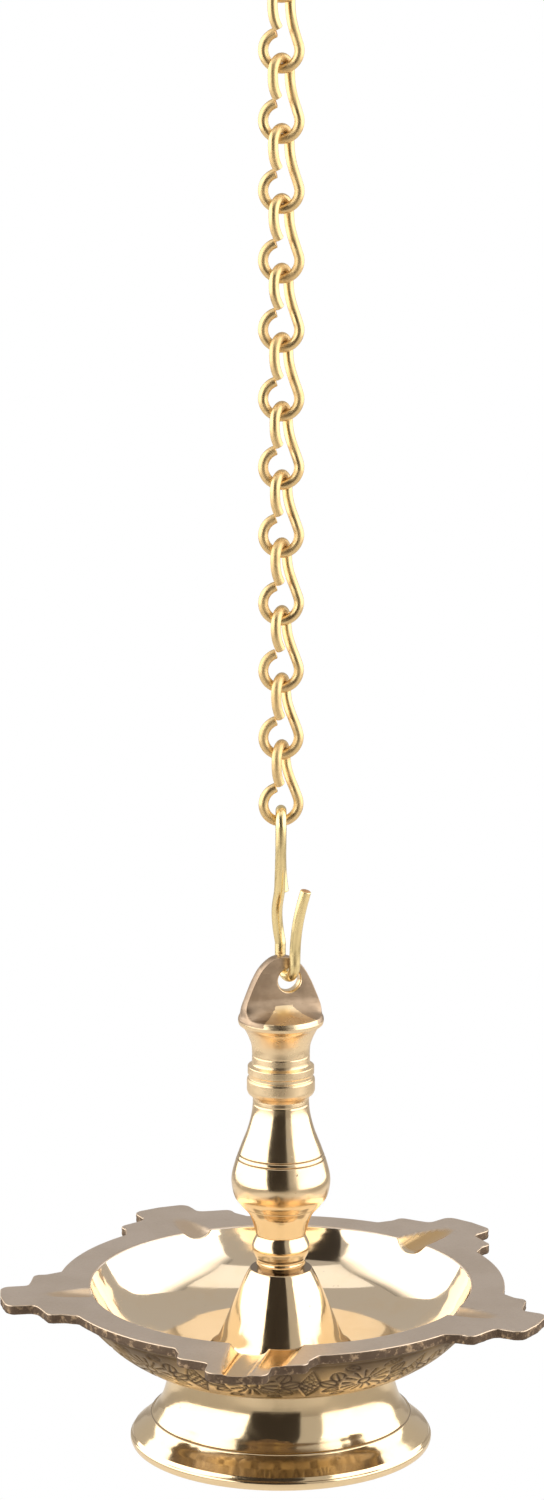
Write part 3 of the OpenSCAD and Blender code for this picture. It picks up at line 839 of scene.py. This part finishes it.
def build_bowl():
    """One casting: well, rim with its spouts, raw edge and chased underside, as rows from axis to axis."""
    even_dir, outline, outward, even = bowl_plan()
    # For each row, the dark mask holds the chased lines' patina together with the painted shadow under the
    # rim.
    rows, kinds, patina_and_shade = [], [], []

    def add(plan, heights, kind, dark=None):
        """Adds a row and the skin that leads up to it."""
        heights = np.broadcast_to(heights, (COLUMNS,)).astype(float)
        rows.append(np.column_stack([plan, heights]))
        kinds.append(kind)
        patina_and_shade.append(np.zeros(COLUMNS) if dark is None else dark)

    add(even_dir * ROD_HOLE_R, FLOOR_H, WELL_SKIN)
    add(even_dir * 9, FLOOR_H, WELL_SKIN)
    well = smooth([[15, FLOOR_H], [20, -13.2], [24.8, -12.6], [29.2, -11.1], [32.8, -8.9], [35.3, -6.3],
                   [37, -3.7], [38.2, -1.5], [38.75, -0.32]], 5)
    for r, h in well:
        add(even_dir * r, h, WELL_SKIN)
    for r, h in [[38.87, -0.1], [39.02, -0.02], [LIP_R, 0]]:
        add(even_dir * r, h, RIM_SKIN)
    edge_in = outline - outward * 0.3
    inner = even_dir * LIP_R
    for t in np.linspace(0, 1, 13)[1:]:
        add(inner + (edge_in - inner) * t, 0, RIM_SKIN)
    seed_points = np.column_stack([outline, np.zeros(COLUMNS)])
    wobble = 0.16 * noise_at(seed_points, 0.35, 3.0) + 0.1 * noise_at(seed_points, 1.3, 8.0)
    for inset, h in [[0.14, -0.02], [0.05, -0.07], [0.0, -0.18], [-0.02, -0.6], [0.03, -1.0], [-0.02, -1.4],
                     [0.05, -1.75], [0.2, -1.95]]:
        raw = h < -0.2
        rough = 0.07 * noise_at(seed_points + [0, 0, h * 2], 1.9, 5.0)
        shift = wobble * min(1, -h / 0.6) * 0.6 + rough * raw - inset
        drop = 0.05 * noise_at(seed_points, 0.9, 11.0) if raw else 0
        add(outline + outward * shift[:, None], h + drop, EDGE_SKIN if raw else RIM_SKIN)
    under = outline - outward * 0.4
    belly = even_dir * BELLY_R
    for t in np.linspace(0, 1, 5)[:-1]:
        add(under + (belly - under) * t, -RIM_T, EDGE_SKIN)
    side = smooth([[BELLY_R, -RIM_T], [42.6, -3], [40.4, -5.4], [37.6, -8.4], [34.6, -11.2], [30.4, -14],
                   [26.4, -15.7], [BASE_R, BASE_H]], 30)
    spacing, middle_run = 0.4, 10.2
    side = resampled(side, spacing)
    slope = tangents(np.column_stack([side, np.zeros(len(side))]))[:, :2]
    for k, (r, h) in enumerate(side):
        x, y = even * BAND_R, np.full(COLUMNS, middle_run - k * spacing)
        on_band = (y < BAND_TOP) & (y > BAND_LOW)
        marks = np.where(on_band, chasing(x * REPEAT / REPEAT_ROOM - BAND_SHIFT, y), 0)
        borders = np.maximum(line_at(y - BAND_TOP - 0.1, 0.25), line_at(y - BAND_LOW + 0.1, 0.25))
        marks = np.maximum(marks, borders)
        inward = np.array([slope[k, 1], -slope[k, 0]])
        depth = CHASED_DEPTH * marks
        plan = even_dir * (r + inward[0] * depth)[:, None]
        # Painted shadow under the rim: the band is darkened more towards its top.
        painted_rim_shadow = 0.8 * np.clip((y - 0.5) / 6.5, 0, 1) ** 0.8
        add(plan, h + inward[1] * depth, BAND_SKIN, np.maximum(marks, painted_rim_shadow))
    add(even_dir * 12, BASE_H, BAND_SKIN)
    add(even_dir * ROD_HOLE_R, BASE_H, BAND_SKIN)
    grid = np.array(rows)
    top_rows = [k for k, kind in enumerate(kinds) if kind in (WELL_SKIN, RIM_SKIN)]
    top, shine = wick_channels(grid[top_rows].reshape(-1, 3))
    grid[top_rows] = top.reshape(len(top_rows), COLUMNS, 3)
    polish = np.zeros(grid.shape[:2])
    polish[top_rows] = shine.reshape(len(top_rows), COLUMNS)
    polish[[k for k in top_rows if rows[k][0, 2] in RUBBED]] = 0.2
    last_top = grid[top_rows[-1], :, 2]
    for k in [k for k, kind in enumerate(kinds) if kind == EDGE_SKIN]:
        grid[k, :, 2] = np.minimum(grid[k, :, 2], last_top - 0.1)
    grid[..., 2] += RIM_Z
    slots = np.repeat(kinds[1:] + [BAND_SKIN], COLUMNS)
    obj = make_piece("bowl_cast", grid.reshape(-1, 3), grid_faces(len(grid), COLUMNS, True), "lamp", ["bowl"],
                     [WELL, RIM, EDGE, BAND], slots.tolist(),
                     {"patina_and_shade": np.concatenate(patina_and_shade), "polish": polish.ravel()})
    crisp_flats(obj)


# ---- Rod, washer and nut inside the foot ----

SEAT_H = BASE_H - 2.6
WASHER_T = 0.8
WASHER_R, WASHER_HOLE_R = 4.5, 2.15
NUT_TOP = SEAT_H - WASHER_T
NUT_T = 3.2
NUT_HALF = 3.5
THREAD_HALF_DEPTH = 0.15
THREAD_PITCH = 0.7


def build_tie_rod():
    """Rod with a thread from its tip to above the foot's seat."""
    columns = 64
    low = SEAT_H - WASHER_T - NUT_T - 1.3
    a = np.linspace(0, 2 * math.pi, columns, endpoint=False)
    thread = []
    for h in np.arange(low + 0.4, SEAT_H + 0.4, 0.1):
        wave = np.cos(2 * math.pi * h / THREAD_PITCH + a)
        r = ROD_R - THREAD_HALF_DEPTH + THREAD_HALF_DEPTH * wave
        thread.append(np.stack([r * np.cos(a), r * np.sin(a), np.full(columns, RIM_Z + h)], -1))
    tip = ring_points(np.array([[1.5, low], [1.8, low + 0.25]]), columns)
    shank = ring_points(np.array([[ROD_R, SEAT_H + 0.6], [ROD_R, SEAM_H + 10.7], [ROD_R - 0.3, SEAM_H + 11]]),
                        columns)
    points, faces = closed_rings(np.concatenate([tip, thread, shank]))
    crisp_flats(make_piece("tie_rod_threaded", points, faces, "lamp", ["tie_rod"], [ROD]), 50)


def build_washer():
    columns = 96
    start = [WASHER_HOLE_R, SEAT_H - 0.4]
    outline = softened([start, [WASHER_HOLE_R, NUT_TOP], [WASHER_R, NUT_TOP], [WASHER_R, SEAT_H],
                        [WASHER_HOLE_R, SEAT_H], start], 0.12)[:-1]
    rows = ring_points(outline, columns)
    crisp_flats(make_piece("washer_punched", rows.reshape(-1, 3), grid_faces(len(rows), columns, True),
                           "lamp", ["washer"], [STEEL]))


def build_nut():
    """Hexagon nut: rings that are cut off at the hexagon or at a limit, whichever is smaller."""
    columns = 96
    low = NUT_TOP - NUT_T
    a = np.linspace(0, 2 * math.pi, columns, endpoint=False)
    hexagon = NUT_HALF / np.cos((a + math.pi / 6) % (math.pi / 3) - math.pi / 6)
    rows = []
    for limit, h in [(2.0, NUT_TOP - 1.6), (2.0, NUT_TOP - 0.3), (2.35, NUT_TOP), (3.3, NUT_TOP),
                     (3.75, NUT_TOP - 0.18), (9, NUT_TOP - 0.5), (9, low + 0.5), (3.75, low + 0.18),
                     (3.3, low), (2.35, low), (2.0, low + 0.3)]:
        r = np.minimum(hexagon, limit)
        rows.append(np.stack([r * np.cos(a), r * np.sin(a), np.full(columns, RIM_Z + h)], -1))
    rows = np.array(rows)
    obj = make_piece("hex_nut_chamfered", rows.reshape(-1, 3), grid_faces(len(rows), columns, True), "lamp",
                     ["hex_nut"], [ROD])
    crisp_flats(obj, 30)


build_stem()
build_cone()
build_foot()
build_bowl()
build_tie_rod()
build_washer()
build_nut()


# ---- Studio, in metres ----

WARM_WHITE = (1.0, 0.985, 0.955)
GREY = (0.5, 0.5, 0.5)
LAMP_MIDDLE = (RIM_Z + 15) * MM
FLOOR_DROP, FLOOR_REACH = 0.22, 40

# Softboxes beside the lamp; heights here and below are over the lamp's middle
BOX_DISTANCE = 0.74
BOX_BOTTOM, BOX_TOP = -0.12, 0.66
BOX_RADIANCE = 1.84
# Name, azimuth, width, and where the box's fading top starts, ends and stops
BOXES = [("left", -84, 2.0, -1.0, 0.5, 1.24), ("right", 86, 1.5, -0.68, 0.75, 1.4)]

CEILING_HEIGHT, CEILING_HALF_X, CEILING_HALF_Y = 1.2, 0.7, 0.45
CEILING_RADIANCE = 0.62

# Dark panel on the camera's side, as azimuth and height of each corner
FLAG_DISTANCE = 0.62
FLAG_CORNERS = [(-27, -0.13), (19, -0.13), (17, 0.84), (-55, 0.84)]


def white_to_camera(tree, lit, output_kind):
    """Shows plain white to the camera, and lit to everything else."""
    path = tree.nodes.new("ShaderNodeLightPath")
    mix = tree.nodes.new("ShaderNodeMixShader")
    is_world = output_kind == "ShaderNodeOutputWorld"
    white = tree.nodes.new("ShaderNodeBackground" if is_world else "ShaderNodeEmission")
    white.inputs["Color"].default_value = (1, 1, 1, 1)
    white.inputs["Strength"].default_value = 1.0
    tree.links.new(path.outputs["Is Camera Ray"], mix.inputs[0])
    tree.links.new(lit, mix.inputs[1])
    tree.links.new(white.outputs[0], mix.inputs[2])
    output = next(n for n in tree.nodes if n.bl_idname == output_kind)
    tree.links.new(mix.outputs[0], output.inputs["Surface"])


def panel(name, corners, colour):
    """A matt panel of the studio between four corners."""
    mesh = bpy.data.meshes.new(name)
    mesh.from_pydata([tuple(c) for c in corners], [], [[0, 1, 2, 3]])
    m = Nodes(name)
    m.metal(colour, 0.8, 0.0)
    mesh.materials.append(m.material)
    obj = bpy.data.objects.new(name, mesh)
    bpy.context.scene.collection.objects.link(obj)
    return obj, m


def level_corners(half_x, half_y, z):
    return [(-half_x, -half_y, z), (half_x, -half_y, z), (half_x, half_y, z), (-half_x, half_y, z)]


def around(azimuth, distance, height):
    """A place round the lamp; azimuth 0 is in front and positive to the right."""
    a = math.radians(azimuth)
    return (distance * math.sin(a), -distance * math.cos(a), height)


def softbox(name, azimuth, width):
    """An upright softbox beside the lamp."""
    bottom, top = LAMP_MIDDLE + BOX_BOTTOM, LAMP_MIDDLE + BOX_TOP
    data = bpy.data.lights.new(name, "AREA")
    data.shape, data.size, data.size_y = "RECTANGLE", width, top - bottom
    data.energy, data.color = BOX_RADIANCE * math.pi * width * (top - bottom), WARM_WHITE
    obj = bpy.data.objects.new(name, data)
    obj.location = around(azimuth, BOX_DISTANCE, (bottom + top) / 2)
    obj.rotation_euler = Vector(around(azimuth, -1, 0)).to_track_quat("-Z", "Y").to_euler()
    obj.visible_camera = False
    bpy.context.scene.collection.objects.link(obj)


def spill(name, azimuth, start, end, stop):
    """The top of a softbox, where its light falls off."""
    bottom, top = LAMP_MIDDLE + BOX_TOP, LAMP_MIDDLE + stop
    corners = [Vector(around(azimuth, BOX_DISTANCE, h)) + Vector(around(azimuth + 90, along, 0))
               for h, along in ((bottom, start), (bottom, end), (top, end), (top, start))]
    obj, m = panel(name, corners, GREY)
    m.link(m.ramp(m.height(m.place()), bottom, top, BOX_RADIANCE, 0.0), m.shader.inputs["Emission Strength"])
    m.shader.inputs["Emission Color"].default_value = (*WARM_WHITE, 1)
    obj.visible_camera = False


def build_studio():
    """Floor, two softboxes with fading tops, soft ceiling, dark panel and a pale world."""
    floor_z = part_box("foot")[0].z - FLOOR_DROP
    _, floor_nodes = panel("floor", level_corners(FLOOR_REACH, FLOOR_REACH, floor_z), (0.72, 0.69, 0.65))
    white_to_camera(floor_nodes.tree, floor_nodes.shader.outputs[0], "ShaderNodeOutputMaterial")
    for side, azimuth, width, start, end, stop in BOXES:
        softbox("softbox_" + side, azimuth, width)
        spill("spill_" + side, azimuth, start, end, stop)
    ceiling_corners = level_corners(CEILING_HALF_X, CEILING_HALF_Y, LAMP_MIDDLE + CEILING_HEIGHT)
    ceiling, ceiling_nodes = panel("ceiling", ceiling_corners, GREY)
    ceiling_nodes.shader.inputs["Emission Color"].default_value = (*WARM_WHITE, 1)
    ceiling_nodes.shader.inputs["Emission Strength"].default_value = CEILING_RADIANCE
    ceiling.visible_camera = False
    flag_corners = [around(azimuth, FLAG_DISTANCE, LAMP_MIDDLE + h) for azimuth, h in FLAG_CORNERS]
    flag, _ = panel("camera_flag", flag_corners, (0.014, 0.009, 0.0055))
    flag.visible_camera = False
    world = bpy.data.worlds.new("studio")
    bpy.context.scene.world = world
    world.use_nodes = True
    sky = world.node_tree.nodes["Background"]
    sky.inputs["Color"].default_value = (0.50, 0.475, 0.45, 1)
    sky.inputs["Strength"].default_value = 1.0
    white_to_camera(world.node_tree, sky.outputs[0], "ShaderNodeOutputWorld")
    bpy.context.scene.view_settings.view_transform = "Standard"


def build_camera():
    """Level with the chain's foot, looking down on the lamp from a metre away."""
    data = bpy.data.cameras.new("camera")
    frame_height_px, focal_px = 1500, 5139
    data.sensor_width = 36
    data.lens = focal_px * data.sensor_width / frame_height_px
    camera = bpy.data.objects.new("camera", data)
    camera.location = (-0.0018, -1.0, (RIM_Z + 329.7) * MM)
    camera.rotation_euler = (math.radians(90 - 12.33), 0, 0)
    bpy.context.scene.collection.objects.link(camera)
    bpy.context.scene.camera = camera


build_studio()
build_camera()
